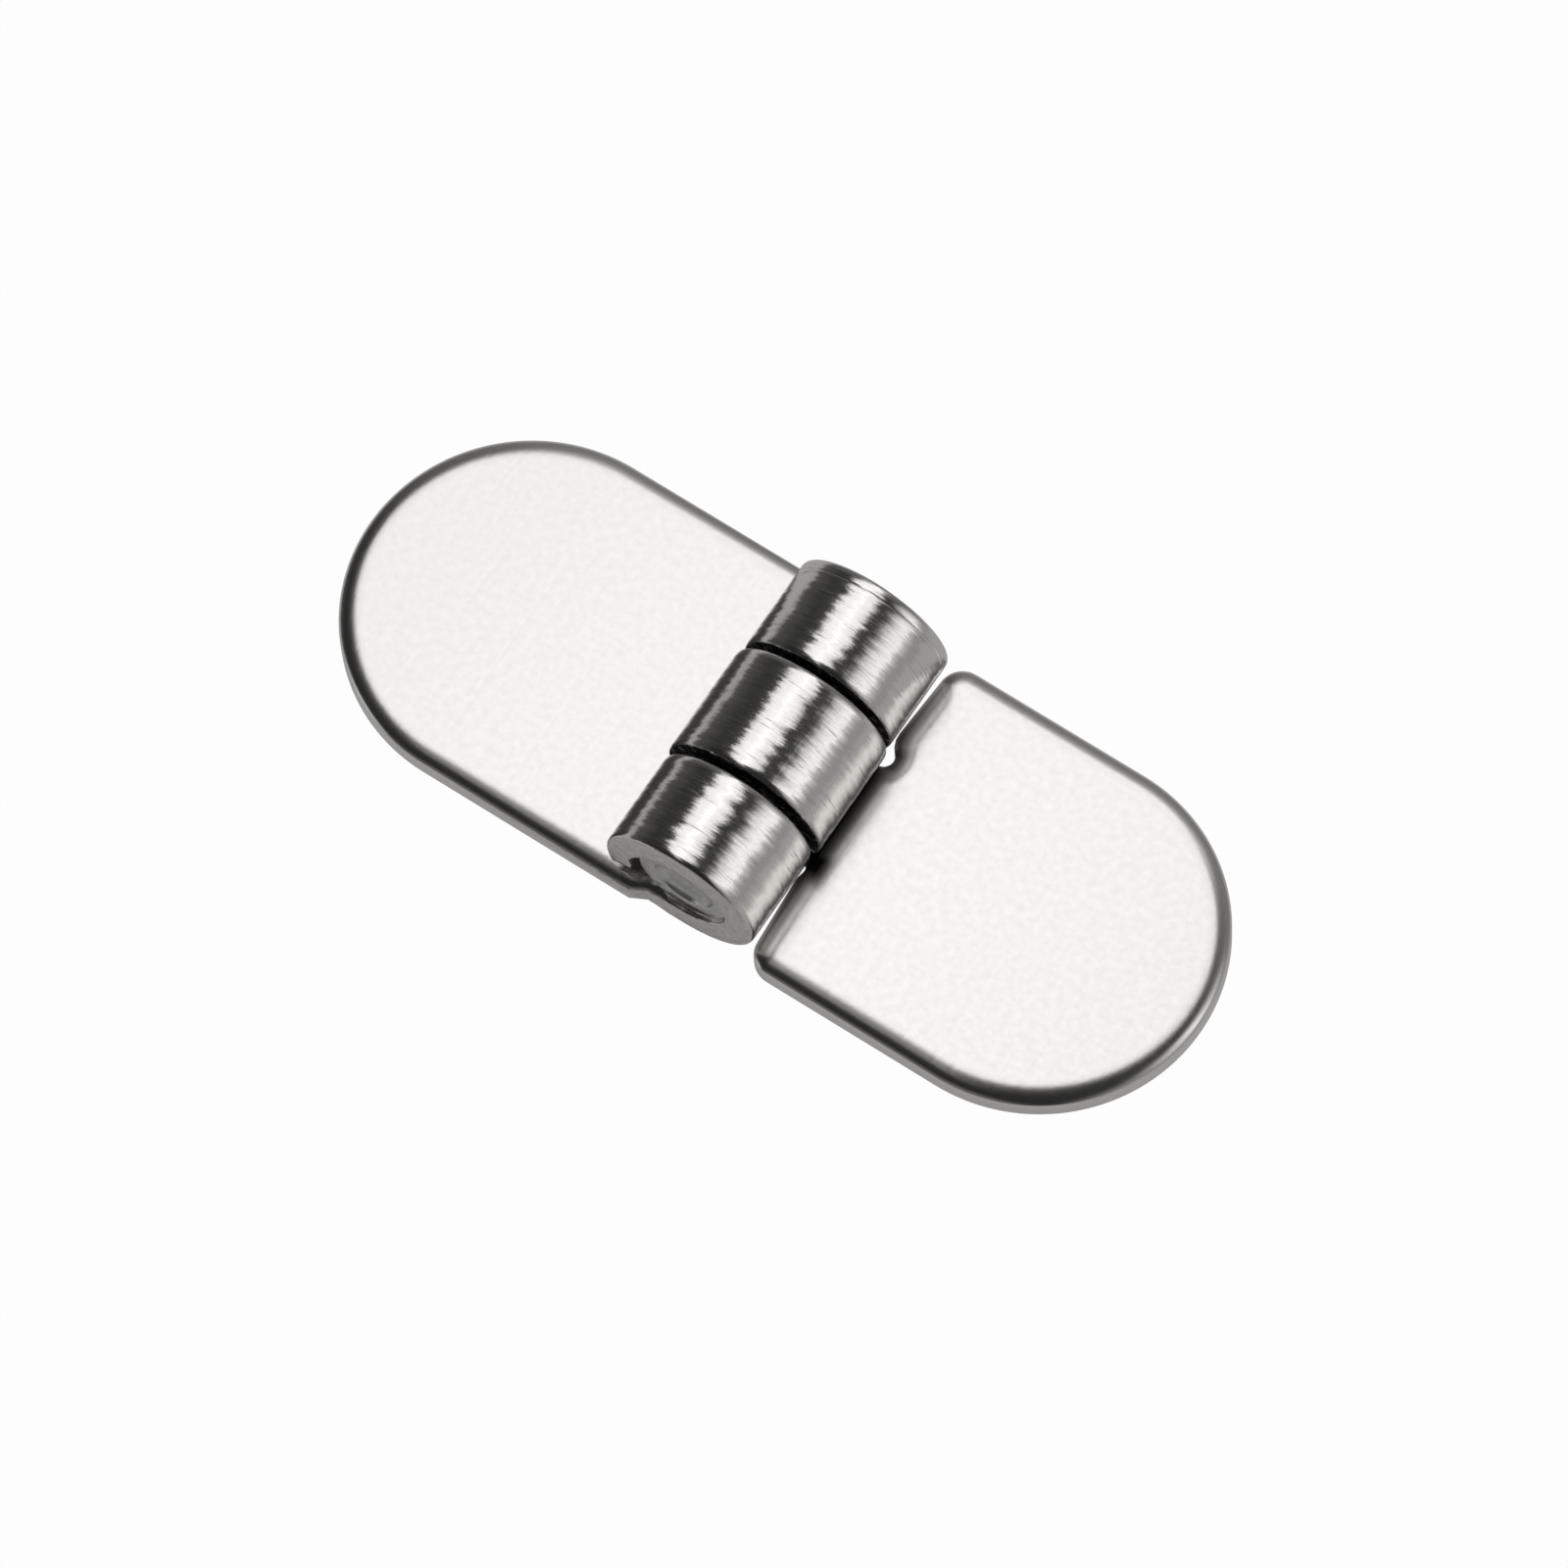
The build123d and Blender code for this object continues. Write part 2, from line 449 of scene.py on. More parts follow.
@dataclass
class SwingLeaf(Leaf):
    """The leaf with the middle knuckle.

    Attributes:
        middle: near and far end of the middle knuckle, along the pin.
        inner_distance: pin axis to the inner edge, beside the neck.
        fall_back: angle at which the inner edges fall back, in degrees.
        relief: radius of the concave corners beside the neck.
        relief_centres: pin axis to the centre of the near and the far relief.
        corner: radius of the outward bends, more than the reach of the rolled edge.
        corner_steps: number of edges round an outer corner.
        swerve_steps: number of edges in the bend into a relief.
        relief_steps: number of edges round a relief.
    """

    middle: tuple[float, float] = (-3.85, 3.25)
    inner_distance: float = 4.25
    fall_back: float = 3.5
    relief: float = 0.65
    relief_centres: tuple[float, float] = (3.8, 4.4)
    corner: float = 1.5
    corner_steps: int = 10
    swerve_steps: int = 3
    relief_steps: int = 12
    curl: Curl = field(default_factory=lambda: Curl(slack=0.16))

    def draw(self, bm: BMesh) -> BMFace:
        """Draws the D, its inner edges, the reliefs and the neck."""
        half = self.width / 2
        near, far = self.middle
        fall = math.radians(self.fall_back)
        quarter = 90 - self.fall_back
        tangent = self.corner * math.tan(math.radians(quarter / 2))
        near_swerve, far_swerve = (self._swerve(centre) for centre in self.relief_centres)
        near_x, far_x = (
            -self.inner_distance - (half - abs(neck)) * math.tan(fall) for neck in self.middle
        )
        pen = OutlinePen(bm, (-self.straight_end, -half))
        pen.line_to(near_x - tangent, -half)
        pen.bend(self.corner, quarter, Turn.LEFT, self.corner_steps)
        pen.line_to(*self._near_swerve_start(near_swerve))
        pen.bend(self.corner, near_swerve, Turn.LEFT, self.swerve_steps)
        pen.bend(self.relief, quarter + near_swerve, Turn.RIGHT, self.relief_steps)
        pen.line_to(self.overrun, near)
        pen.line_to(self.overrun, far)
        pen.line_to(-self.relief_centres[1], far)
        pen.bend(self.relief, quarter + far_swerve, Turn.RIGHT, self.relief_steps)
        pen.bend(self.corner, far_swerve, Turn.LEFT, self.swerve_steps)
        pen.line_to(far_x + tangent * math.sin(fall), half - tangent * math.cos(fall))
        pen.bend(self.corner, quarter, Turn.LEFT, self.corner_steps)
        pen.line_to(-self.straight_end, half)
        pen.bend(half, 180, Turn.LEFT, self.tip_steps)
        return pen.close()

    def _swerve(self, centre: float) -> float:
        """Degrees by which the inner edge swerves outwards before it bends into a relief.

        Args:
            centre: pin axis to the relief's centre.

        Returns:
            The angle of the swerve.
        """
        fall = math.radians(self.fall_back)
        edge = self.inner_distance * math.cos(fall)
        depth = centre * math.cos(fall) - self.relief * math.sin(fall)
        reach = self.corner + self.relief
        return math.degrees(math.acos((edge + self.corner - depth) / reach))

    def _near_swerve_start(self, swerve: float) -> tuple[float, float]:
        """Point of the inner edge at which the swerve into the near relief starts.

        Args:
            swerve: how far it turns, in degrees.

        Returns:
            The point, in the blank's plane.
        """
        fall = math.radians(self.fall_back)
        meeting = math.radians(180 - self.fall_back + swerve)
        reach = self.corner + self.relief
        across = reach * math.cos(meeting) + self.corner * math.cos(fall)
        along = reach * math.sin(meeting) - self.corner * math.sin(fall)
        return across - self.relief_centres[0], self.middle[0] - self.relief + along


@dataclass
class HingePin:
    """The pin with its staked, punched ends.

    Attributes:
        centre: middle of the pin, along Y.
        half_length: half of its length.
        radius: radius of the rod; its staked ends fill the bore.
        stake: length of a staked end.
        dish_depth: depth of the punched dish.
        dish_floor: radius of its nearly flat floor.
        dish_rise: how far the floor rises to its wall.
        dish_wall: radius in which the wall rises.
        wall_turn: degrees through which it rises.
        lip: radius of the lip round the dish.
        rim: radius of the end's edge.
        wall_steps: number of edges in the dish's wall.
        lip_steps: number of edges in its lip.
        rim_steps: number of edges round the end's edge.
        steps: number of faces round the pin.
        end_dullness: how dull its ends are; their finish is dull already.
    """

    centre: float = -0.3
    half_length: float = 9.85
    radius: float = 3.0
    stake: float = 1.2
    dish_depth: float = 0.51
    dish_floor: float = 1.4
    dish_rise: float = 0.09
    dish_wall: float = 0.7
    wall_turn: float = 50.0
    lip: float = 0.3
    rim: float = 0.2
    wall_steps: int = 8
    lip_steps: int = 6
    rim_steps: int = 5
    steps: int = 96
    end_dullness: float = 0.0

    def build(self) -> bpy.types.Object:
        """Turns the pin and hides the node that it stands for.

        Returns:
            The finished piece.
        """
        bm = bmesh.new()
        pen = OutlinePen(bm, (0.0, self.half_length - self.dish_depth))
        pen.line_to(self.dish_floor, self.half_length - self.dish_depth + self.dish_rise)
        pen.bend(self.dish_wall, self.wall_turn, Turn.LEFT, self.wall_steps)
        pen.bend(self.lip, pen.heading, Turn.RIGHT, self.lip_steps)
        pen.line_to(BORE - self.rim, self.half_length)
        pen.bend(self.rim, 90, Turn.RIGHT, self.rim_steps)
        pen.line_to(BORE, self.half_length - self.stake / 2)
        pen.line_to(self.radius, self.half_length - self.stake)
        pen.line_to(self.radius, 0.0)
        bmesh.ops.mirror(
            bm, geom=bm.verts[:] + bm.edges[:], axis="Y", merge_dist=CLOSE,
        )
        bmesh.ops.spin(
            bm, geom=bm.verts[:] + bm.edges[:], cent=(0, 0, 0), axis=(0, 1, 0),
            angle=math.tau, steps=self.steps, use_merge=True,
        )
        bmesh.ops.translate(bm, verts=bm.verts[:], vec=(0, self.centre, PIN_HEIGHT))
        return finish_piece(
            bm, "hinge_pin_staked", "hinge_pin", Body.FIXED, self.end_dullness
        )


def finish_piece(
    bm: BMesh, name: str, stands_for: str, body: Body, end_dullness: float
) -> bpy.types.Object:
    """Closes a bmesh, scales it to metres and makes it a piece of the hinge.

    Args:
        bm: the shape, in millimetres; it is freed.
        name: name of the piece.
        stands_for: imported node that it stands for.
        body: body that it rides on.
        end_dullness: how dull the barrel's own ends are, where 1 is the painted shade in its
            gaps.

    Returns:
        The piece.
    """
    bmesh.ops.remove_doubles(bm, verts=bm.verts[:], dist=CLOSE / 10)
    bmesh.ops.recalc_face_normals(bm, faces=bm.faces[:])
    mark_rims(bm)
    mark_cut_ends_and_gap_shade(bm, end_dullness)
    bmesh.ops.scale(bm, verts=bm.verts[:], vec=(MM, MM, MM))
    for face in bm.faces:
        face.smooth = True
    open_edges = sum(not edge.is_manifold for edge in bm.edges)
    mesh = bpy.data.meshes.new(name)
    bm.to_mesh(mesh)
    bm.free()
    piece = bpy.data.objects.new(name, mesh)
    bpy.context.scene.collection.objects.link(piece)
    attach(piece, body.value)
    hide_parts(stands_for)
    log.info("%s: %d faces, %d open edges", name, len(mesh.polygons), open_edges)
    return piece


def mark_rims(bm: BMesh, gentle: float = 7.0, sharp: float = 20.0) -> None:
    """Writes on each vertex how sharply the surface turns there, for wear along the edges.

    Args:
        bm: the shape.
        gentle: angle between faces, in degrees, up to which there is no wear.
        sharp: angle from which there is full wear.
    """
    layer = bm.verts.layers.float.new(RIM_LAYER)
    for vert in bm.verts:
        turns = [math.degrees(edge.calc_face_angle(0.0)) for edge in vert.link_edges]
        vert[layer] = share_between(max(turns), gentle, sharp)


def mark_cut_ends_and_gap_shade(
    bm: BMesh, end_dullness: float, barrel: float = 5.3, open_from: float = 9.0,
    facing: tuple[float, float] = (0.5, 0.8),
) -> None:
    """Writes on each vertex how dull the cut ends of the knuckles are there, and paints shade on
    the ends that face the gaps between knuckles.

    Args:
        bm: the shape.
        end_dullness: how dull the barrel's own ends are, where 1 is the painted shade in its
            gaps.
        barrel: radius up to which a vertex is part of the barrel.
        open_from: so far along the pin, an end lies open and gets only its own dullness; nearer
            the middle, ends face the gaps and get painted shade.
        facing: how far a face looks along the pin where it starts to be an end, and where it is
            one.
    """
    layer = bm.verts.layers.float.new(CUT_END_AND_GAP_SHADE_LAYER)
    for vert in bm.verts:
        radius = math.hypot(vert.co.x, vert.co.z - PIN_HEIGHT)
        if radius < barrel:
            # Ends that face the gaps between knuckles get full value: painted shade. Open ends
            # get only their own dullness.
            dullness = 1.0 if abs(vert.co.y) < open_from else end_dullness
            vert[layer] = dullness * share_between(abs(vert.normal.y), *facing)


class Wiring:
    """Adds nodes to a node tree and links them.

    Attributes:
        COLUMN: width of a column of nodes.
        ROW: height of a row of nodes.
        NODES_A_ROW: number of nodes side by side.
        FIRST_COLOR: index of the first colour's input in a mix node.
        SECOND_COLOR: index of the second colour's.
        MIXED_COLOR: index of the colour that a mix node puts out.
    """

    COLUMN = 220
    ROW = 260
    NODES_A_ROW = 8
    FIRST_COLOR, SECOND_COLOR, MIXED_COLOR = 6, 7, 2

    def __init__(self, tree: bpy.types.NodeTree) -> None:
        """Starts on a tree."""
        self.tree = tree

    def add(self, kind: str, inputs: dict | None = None, **settings: object) -> bpy.types.Node:
        """Adds a node.

        Args:
            kind: type of the node.
            inputs: for each input socket, by name or index, a value or the socket that feeds it.
            settings: properties of the node.

        Returns:
            The node.
        """
        made = self.tree.nodes.new(kind)
        row, column = divmod(len(self.tree.nodes), self.NODES_A_ROW)
        made.location = (self.COLUMN * column, -self.ROW * row)
        for key, value in settings.items():
            setattr(made, key, value)
        for key, value in (inputs or {}).items():
            if isinstance(value, bpy.types.NodeSocket):
                self.tree.links.new(value, made.inputs[key])
            else:
                made.inputs[key].default_value = value
        return made

    def math(self, operation: str, *values: object) -> bpy.types.NodeSocket:
        """Result of a math node on values or sockets."""
        return self.add("ShaderNodeMath", dict(enumerate(values)), operation=operation).outputs[0]

    def stretch(
        self, value: bpy.types.NodeSocket, low: object, high: object,
        to_low: float = 0.0, to_high: float = 1.0,
    ) -> bpy.types.NodeSocket:
        """Result of mapping one range of a value to another, held at its ends."""
        inputs = {"Value": value, "From Min": low, "From Max": high, "To Min": to_low,
                  "To Max": to_high}
        return self.add("ShaderNodeMapRange", inputs, clamp=True).outputs["Result"]

    def noise(
        self, vector: bpy.types.NodeSocket, scale: object, detail: float,
        roughness: float = 0.5,
    ) -> bpy.types.NodeSocket:
        """Value of a noise texture."""
        inputs = {"Vector": vector, "Scale": scale, "Detail": detail, "Roughness": roughness}
        return self.add("ShaderNodeTexNoise", inputs).outputs["Fac"]

    def mapped(
        self, vector: bpy.types.NodeSocket, scale: tuple[float, float, float], turn: float = 0.0
    ) -> bpy.types.NodeSocket:
        """Coordinates stretched along their axes and, for a turn about Z, also shifted by it."""
        inputs = {"Vector": vector, "Scale": scale, "Rotation": (0, 0, turn),
                  "Location": (turn, 0, 0)}
        return self.add("ShaderNodeMapping", inputs).outputs["Vector"]

    def vector(self, operation: str, inputs: dict) -> bpy.types.NodeSocket:
        """Vector that a vector math node makes of its inputs."""
        return self.add("ShaderNodeVectorMath", inputs, operation=operation).outputs["Vector"]

    def mix(
        self, share: bpy.types.NodeSocket, first: object, second: object
    ) -> bpy.types.NodeSocket:
        """Colour that lies a share of the way from one colour to another."""
        inputs = {"Factor": share, self.FIRST_COLOR: first, self.SECOND_COLOR: second}
        return self.add("ShaderNodeMix", inputs, data_type="RGBA").outputs[self.MIXED_COLOR]


class EffectGroups:
    """Effects that more than one finish uses, each a node group built once."""

    def __init__(self) -> None:
        """Builds the groups."""
        self.tumbled = self._tumbled()
        self.nicks = self._nicks()
        self.turned = self._turned()
        self.painted_barrel_shade = self._painted_barrel_shade()
        self.wear = self._wear()

    @staticmethod
    def _start(
        name: str, values: dict[str, float], outputs: list[str]
    ) -> tuple[Wiring, bpy.types.NodeOutputs, bpy.types.NodeInputs]:
        """Makes an empty group with named sockets.

        Args:
            name: name of the group.
            values: for each input apart from the vector, its value.
            outputs: names of the outputs; one named Normal is a vector.

        Returns:
            The group's wiring, the sockets that it is given and those that it puts out.
        """
        tree = bpy.data.node_groups.new(name, "ShaderNodeTree")
        sockets = tree.interface
        sockets.new_socket("Vector", in_out="INPUT", socket_type="NodeSocketVector")
        for label, value in values.items():
            socket = sockets.new_socket(label, in_out="INPUT", socket_type="NodeSocketFloat")
            socket.default_value = value
        for label in outputs:
            kind = "NodeSocketVector" if label == "Normal" else "NodeSocketFloat"
            sockets.new_socket(label, in_out="OUTPUT", socket_type=kind)
        wiring = Wiring(tree)
        given, result = wiring.add("NodeGroupInput"), wiring.add("NodeGroupOutput")
        return wiring, given.outputs, result.inputs

    def _tumbled(self) -> bpy.types.NodeTree:
        """Mottling and pitting that tumbling with stones leaves."""
        patch_range, pit_range = (0.3, 0.7), (0.3, 0.62)
        wiring, given, result = self._start(
            "tumbled_surface", {"Patch Scale": 2000.0, "Pit Scale": 4600.0}, ["Mottle", "Pits"]
        )
        patches = wiring.noise(given["Vector"], given["Patch Scale"], detail=5.0)
        pits = wiring.noise(given["Vector"], given["Pit Scale"], detail=2.0)
        links = wiring.tree.links
        links.new(wiring.stretch(patches, *patch_range), result["Mottle"])
        links.new(wiring.stretch(pits, *pit_range), result["Pits"])
        return wiring.tree

    def _nicks(self) -> bpy.types.NodeTree:
        """Short scratches in all directions, from three sets of stretched noise."""
        turns, stretched, sharpness = (0.35, 1.45, 2.5), (1.0, 0.06, 0.3), 12.0
        wiring, given, result = self._start(
            "short_scratches", {"Scale": 1400.0, "Rarity": 0.66}, ["Lines"]
        )
        total = None
        for turn in turns:
            along = wiring.mapped(given["Vector"], stretched, turn)
            lines = wiring.noise(along, given["Scale"], detail=1.0)
            over = wiring.math("MAXIMUM", wiring.math("SUBTRACT", lines, given["Rarity"]), 0.0)
            sharp = wiring.math("MULTIPLY", over, sharpness)
            total = sharp if total is None else wiring.math("ADD", total, sharp)
        wiring.tree.links.new(wiring.math("MINIMUM", total, 1.0), result["Lines"])
        return wiring.tree

    @staticmethod
    def _off_pin(
        wiring: Wiring, given: bpy.types.NodeOutputs
    ) -> tuple[bpy.types.NodeOutputs, bpy.types.NodeSocket, bpy.types.NodeSocket]:
        """Where a point lies.

        Args:
            wiring: wiring of a group with an axis height.
            given: the sockets that the group is given.

        Returns:
            Its coordinates, its height over the pin axis and its distance from that axis.
        """
        place = wiring.add("ShaderNodeSeparateXYZ", {"Vector": given["Vector"]}).outputs
        lift = wiring.math("SUBTRACT", place["Z"], given["Axis Height"])
        span = wiring.math("MULTIPLY", place["X"], place["X"])
        square = wiring.math("ADD", span, wiring.math("MULTIPLY", lift, lift))
        return place, lift, wiring.math("SQRT", square)

    def _turned(self) -> bpy.types.NodeTree:
        """Marks that run round the pin on the knuckles, and the ring scored near their end."""
        fine_lines, broad_lines = (1.0, 12.0, 1.0), (1.0, 9.0, 1.0)
        mark_range, scored_range = (0.25, 0.75), (0.6, 0.68)
        wiring, given, result = self._start(
            "marks_round_the_pin",
            {"Axis Height": PIN_HEIGHT * MM, "Barrel Radius": 0.00525, "Unrolled Radius": 0.0045,
             "Fine Scale": 420.0, "Broad Scale": 260.0, "Swing": 0.3, "Ring Place": 0.00917,
             "Ring Width": 0.00008},
            ["Marks", "Scored", "Ring", "Barrel", "Normal"],
        )
        place, lift, radius = self._off_pin(wiring, given)
        barrel = wiring.math("LESS_THAN", radius, given["Barrel Radius"])
        angle = wiring.math("ARCTAN2", lift, place["X"])
        arc = wiring.math("MULTIPLY", angle, given["Unrolled Radius"])
        unrolled = wiring.add(
            "ShaderNodeCombineXYZ", {"X": arc, "Y": place["Y"], "Z": radius}
        ).outputs["Vector"]
        marks = wiring.noise(
            wiring.mapped(unrolled, fine_lines), given["Fine Scale"], detail=4.0, roughness=0.65
        )
        streaks = wiring.noise(
            wiring.mapped(unrolled, broad_lines), given["Broad Scale"], detail=4.0, roughness=0.72
        )
        swing = wiring.math("MULTIPLY", wiring.math("SUBTRACT", streaks, 0.5), barrel)
        swing = wiring.math("MULTIPLY", swing, given["Swing"])
        facing = wiring.add("ShaderNodeNewGeometry").outputs["Normal"]
        round_pin = wiring.vector("CROSS_PRODUCT", {0: (0, 1, 0), 1: facing})
        step = wiring.vector("SCALE", {0: round_pin, "Scale": swing})
        normal = wiring.vector("NORMALIZE", {0: wiring.vector("ADD", {0: facing, 1: step})})
        off_ring = wiring.math(
            "ABSOLUTE", wiring.math("SUBTRACT", place["Y"], given["Ring Place"])
        )
        links = wiring.tree.links
        links.new(wiring.stretch(marks, *mark_range), result["Marks"])
        links.new(wiring.stretch(marks, *scored_range), result["Scored"])
        links.new(wiring.stretch(off_ring, 0.0, given["Ring Width"], 1.0, 0.0), result["Ring"])
        links.new(barrel, result["Barrel"])
        links.new(normal, result["Normal"])
        return wiring.tree

    def _painted_barrel_shade(self) -> bpy.types.NodeTree:
        """Painted shade on the swing leaf beside the barrel and in the reliefs, where shade
        falls.
        """
        neck_to_corner, corner_share = (0.004, 0.009), 0.3
        relief_edge, above_underside, past_pin = (0.0004, 0.0014), (0.0002, 0.0008), (0.0, 0.003)
        wiring, given, result = self._start(
            "painted_shade_by_the_barrel",
            {"Axis Height": PIN_HEIGHT * MM, "Barrel Radius": 0.00525,
             "Edge Dark To": 0.0056, "Edge Unshaded From": 0.0065,
             "Relief Place": 0.0039, "Relief Dark To": 0.006, "Relief Unshaded From": 0.0068},
            ["Sheltered"],
        )
        place, _, radius = self._off_pin(wiring, given)
        off_middle = wiring.math("ABSOLUTE", place["Y"])
        off_relief = wiring.math(
            "ABSOLUTE", wiring.math("SUBTRACT", off_middle, given["Relief Place"])
        )
        beside = wiring.math(
            "MULTIPLY",
            wiring.stretch(radius, given["Edge Dark To"], given["Edge Unshaded From"], 1.0, 0.0),
            wiring.stretch(off_middle, *neck_to_corner, 1.0, corner_share),
        )
        in_relief = wiring.math(
            "MULTIPLY",
            wiring.stretch(radius, given["Relief Dark To"], given["Relief Unshaded From"], 1.0, 0.0),
            wiring.stretch(off_relief, *relief_edge, 1.0, 0.0),
        )
        # Painted shade: dark beside the barrel's neck and in the reliefs, fading out away from
        # them.
        dark = wiring.math("MAXIMUM", beside, in_relief)
        dark = wiring.math("MULTIPLY", dark, wiring.stretch(place["Z"], *above_underside))
        dark = wiring.math("MULTIPLY", dark, wiring.stretch(place["X"], *past_pin))
        off_barrel = wiring.math("GREATER_THAN", radius, given["Barrel Radius"])
        wiring.tree.links.new(wiring.math("MULTIPLY", dark, off_barrel), result["Sheltered"])
        return wiring.tree

    def _wear(self) -> bpy.types.NodeTree:
        """Rubbed metal along the edges, broken up by noise."""
        noise_range, least_wear = (0.35, 0.6), 0.3
        wiring, given, result = self._start("edge_wear", {"Rim": 0.0, "Scale": 900.0}, ["Wear"])
        noise = wiring.noise(given["Vector"], given["Scale"], detail=4.0)
        broken = wiring.stretch(noise, *noise_range, least_wear)
        wear = wiring.math("MULTIPLY", given["Rim"], broken)
        wiring.tree.links.new(wear, result["Wear"])
        return wiring.tree


@dataclass(frozen=True)
class SteelFinish:
    """A stainless finish.

    Attributes:
        name: name of the material.
        color: colour of the metal.
        shadow_color: colour of its duller patches.
        roughness: roughness of a clean face.
        curled_roughness: the same on the knuckles.
        mottle: how much duller the patches are.
        pits: height of the pitting, in metres.
        nicks: depth of the short scratches, in metres.
        marks: height of the marks round the pin, in metres.
        ring: depth of the ring scored near the far end of the barrel, in metres.
        scored: how dark the deeper marks round the pin are.
        cut_pits: height that the pitting gains on cut ends, in metres.
        patchiness: share of the shadow colour in duller patches and deeper marks.
        torn: least dullness of a cut end, and what its patches add.
        dull_and_shade_color: colour of dull open cut ends and deeper marks, and of painted shade
            by the barrel and in the knuckles' gaps.
        dull_and_shade_roughness: how much rougher it is there.
    """

    name: str
    color: tuple[float, float, float]
    shadow_color: tuple[float, float, float]
    roughness: float
    curled_roughness: float
    mottle: float
    pits: float
    nicks: float
    marks: float
    ring: float = 1.2e-5
    scored: float = 0.35
    cut_pits: float = 4.0e-5
    patchiness: float = 0.5
    torn: tuple[float, float] = (0.5, 1.1)
    dull_and_shade_color: tuple[float, float, float] = (0.03, 0.03, 0.028)
    dull_and_shade_roughness: float = 0.4

    def material(self, effects: EffectGroups) -> bpy.types.Material:
        """Makes the material.

        Args:
            effects: the shared effects.

        Returns:
            The material.
        """
        made = bpy.data.materials.new(self.name)
        made.use_nodes = True
        wiring = Wiring(made.node_tree)
        shader = made.node_tree.nodes["Principled BSDF"]
        shader.inputs["Metallic"].default_value = 1.0
        place = wiring.add("ShaderNodeTexCoord").outputs["Object"]
        rim = wiring.add("ShaderNodeAttribute", attribute_name=RIM_LAYER).outputs["Fac"]
        cut_end_and_gap_shade = wiring.add("ShaderNodeAttribute", attribute_name=CUT_END_AND_GAP_SHADE_LAYER).outputs["Fac"]
        tumbled, nicks, turned, painted_barrel_shade = (
            wiring.add("ShaderNodeGroup", {"Vector": place}, node_tree=effect).outputs
            for effect in (effects.tumbled, effects.nicks, effects.turned, effects.painted_barrel_shade)
        )
        wear = wiring.add(
            "ShaderNodeGroup", {"Vector": place, "Rim": rim}, node_tree=effects.wear
        ).outputs
        barrel = turned["Barrel"]
        scored = wiring.math("MULTIPLY", turned["Scored"], barrel)
        marks = wiring.math("MULTIPLY", turned["Marks"], barrel)
        ring = wiring.math("MULTIPLY", turned["Ring"], barrel)
        least, patches = self.torn
        torn = wiring.math("MULTIPLY_ADD", tumbled["Mottle"], patches, least)
        # Painted shade by the barrel and in the knuckles' gaps, together with the real dullness
        # of open cut ends and deeper marks, darkens the colour here.
        dullness_and_painted_shade = wiring.math(
            "MAXIMUM", wiring.math("MULTIPLY", cut_end_and_gap_shade, torn), painted_barrel_shade["Sheltered"]
        )
        dullness_and_painted_shade = wiring.math(
            "MAXIMUM", dullness_and_painted_shade, wiring.math("MULTIPLY", scored, self.scored)
        )

        dull = wiring.math("ADD", tumbled["Mottle"], scored)
        dull = wiring.math("MULTIPLY", dull, self.patchiness)
        tint = wiring.mix(dull, (*self.color, 1), (*self.shadow_color, 1))
        deep = wiring.mix(dullness_and_painted_shade, tint, (*self.dull_and_shade_color, 1))
        wiring.tree.links.new(deep, shader.inputs["Base Color"])

        clean = wiring.math(
            "MULTIPLY_ADD", barrel, self.curled_roughness - self.roughness, self.roughness
        )
        rough = wiring.math("MULTIPLY_ADD", tumbled["Mottle"], self.mottle, clean)
        rough = wiring.math("MULTIPLY_ADD", scored, self.mottle, rough)
        rough = wiring.math("MULTIPLY_ADD", wear["Wear"], -self.mottle, rough)
        rough = wiring.math("MULTIPLY_ADD", dullness_and_painted_shade, self.dull_and_shade_roughness, rough)
        wiring.tree.links.new(rough, shader.inputs["Roughness"])

        pits = wiring.math("MULTIPLY_ADD", cut_end_and_gap_shade, self.cut_pits / MM, self.pits / MM)
        height = wiring.math("MULTIPLY", tumbled["Pits"], pits)
        height = wiring.math("MULTIPLY_ADD", nicks["Lines"], -self.nicks / MM, height)
        height = wiring.math("MULTIPLY_ADD", marks, self.marks / MM, height)
        height = wiring.math("MULTIPLY_ADD", ring, -self.ring / MM, height)
        bump = wiring.add(
            "ShaderNodeBump",
            {"Height": height, "Strength": 1.0, "Distance": MM, "Normal": turned["Normal"]},
        )
        wiring.tree.links.new(bump.outputs["Normal"], shader.inputs["Normal"])
        return made


TUMBLED_LEAF = SteelFinish(
    name="leaf_steel_tumbled", color=(0.86, 0.84, 0.818), shadow_color=(0.83, 0.808, 0.785),
    roughness=0.22, curled_roughness=0.15, mottle=0.03, pits=8.0e-7, nicks=1.5e-6, marks=5.0e-6,
)
PUNCHED_PIN = SteelFinish(
    name="pin_steel_punched", color=(0.62, 0.615, 0.6), shadow_color=(0.4, 0.395, 0.38),
    roughness=0.22, curled_roughness=0.22, mottle=0.1, pits=3.5e-6, nicks=1.5e-6, marks=1.0e-6,
)


def from_pin(about: float, along: float) -> Vector:
    """Direction at an angle about the pin, from +X over the top, and one towards +Y."""
    turn, lean = math.radians(about), math.radians(along)
    return Vector((
        math.cos(turn) * math.cos(lean), math.sin(lean), math.sin(turn) * math.cos(lean)
    ))


